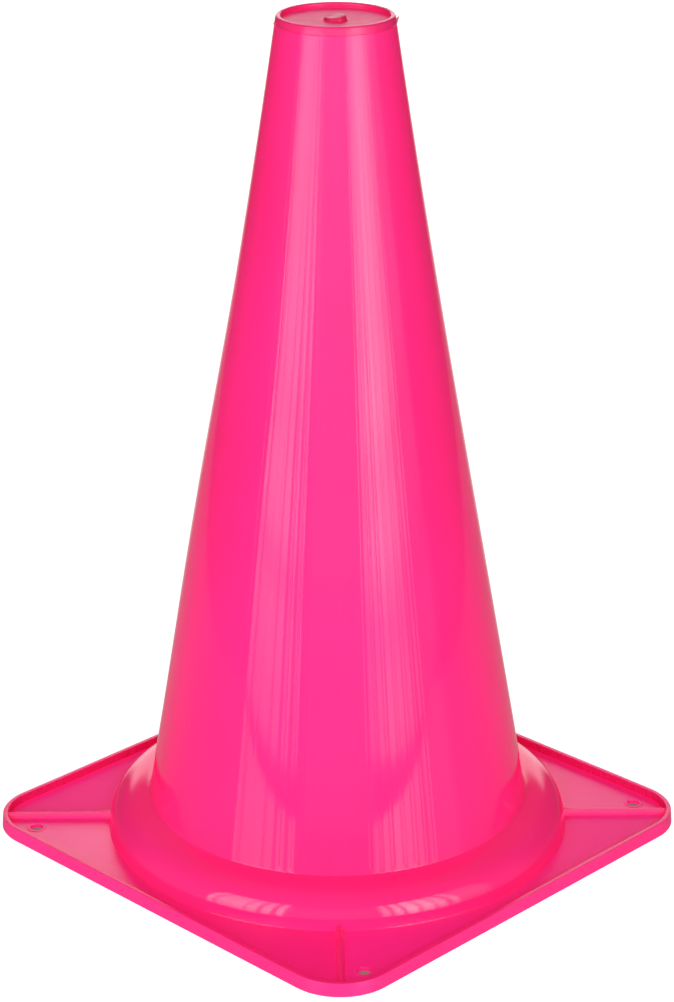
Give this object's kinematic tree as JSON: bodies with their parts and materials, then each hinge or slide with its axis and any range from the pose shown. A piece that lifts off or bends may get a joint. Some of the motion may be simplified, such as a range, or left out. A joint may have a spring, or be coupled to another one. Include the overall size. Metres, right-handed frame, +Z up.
{
  "type": "training cone",
  "caption": "Hollow tapering marker cone on a round collar and a square rimmed base with corner ribs and peg holes, in glossy pink moulded plastic.",
  "frame": {"origin": "on the ground under the cone's axis, at the middle of the square base", "axes": "+Z up along the cone's axis; X and Y along the sides of the square base, so the four ribs lie on the diagonals"},
  "size_m": [0.236, 0.236, 0.38],
  "materials": {
    "gloss_pink": "as moulded, glossy, in hot pink low-density polyethylene",
    "satin_pink": "as moulded, satin, in the same hot pink low-density polyethylene"
  },
  "bodies": {
    "root": {"crown_ring": "gloss_pink", "cone_wall": "gloss_pink", "collar": "gloss_pink", "base_rim": "gloss_pink", "corner_rib_back_right": "gloss_pink", "corner_rib_back_left": "gloss_pink", "corner_rib_front_left": "gloss_pink", "corner_rib_front_right": "gloss_pink", "crown_disc": "satin_pink", "gate_stub": "satin_pink", "base_plate": "satin_pink"}
  },
  "joints": []
}
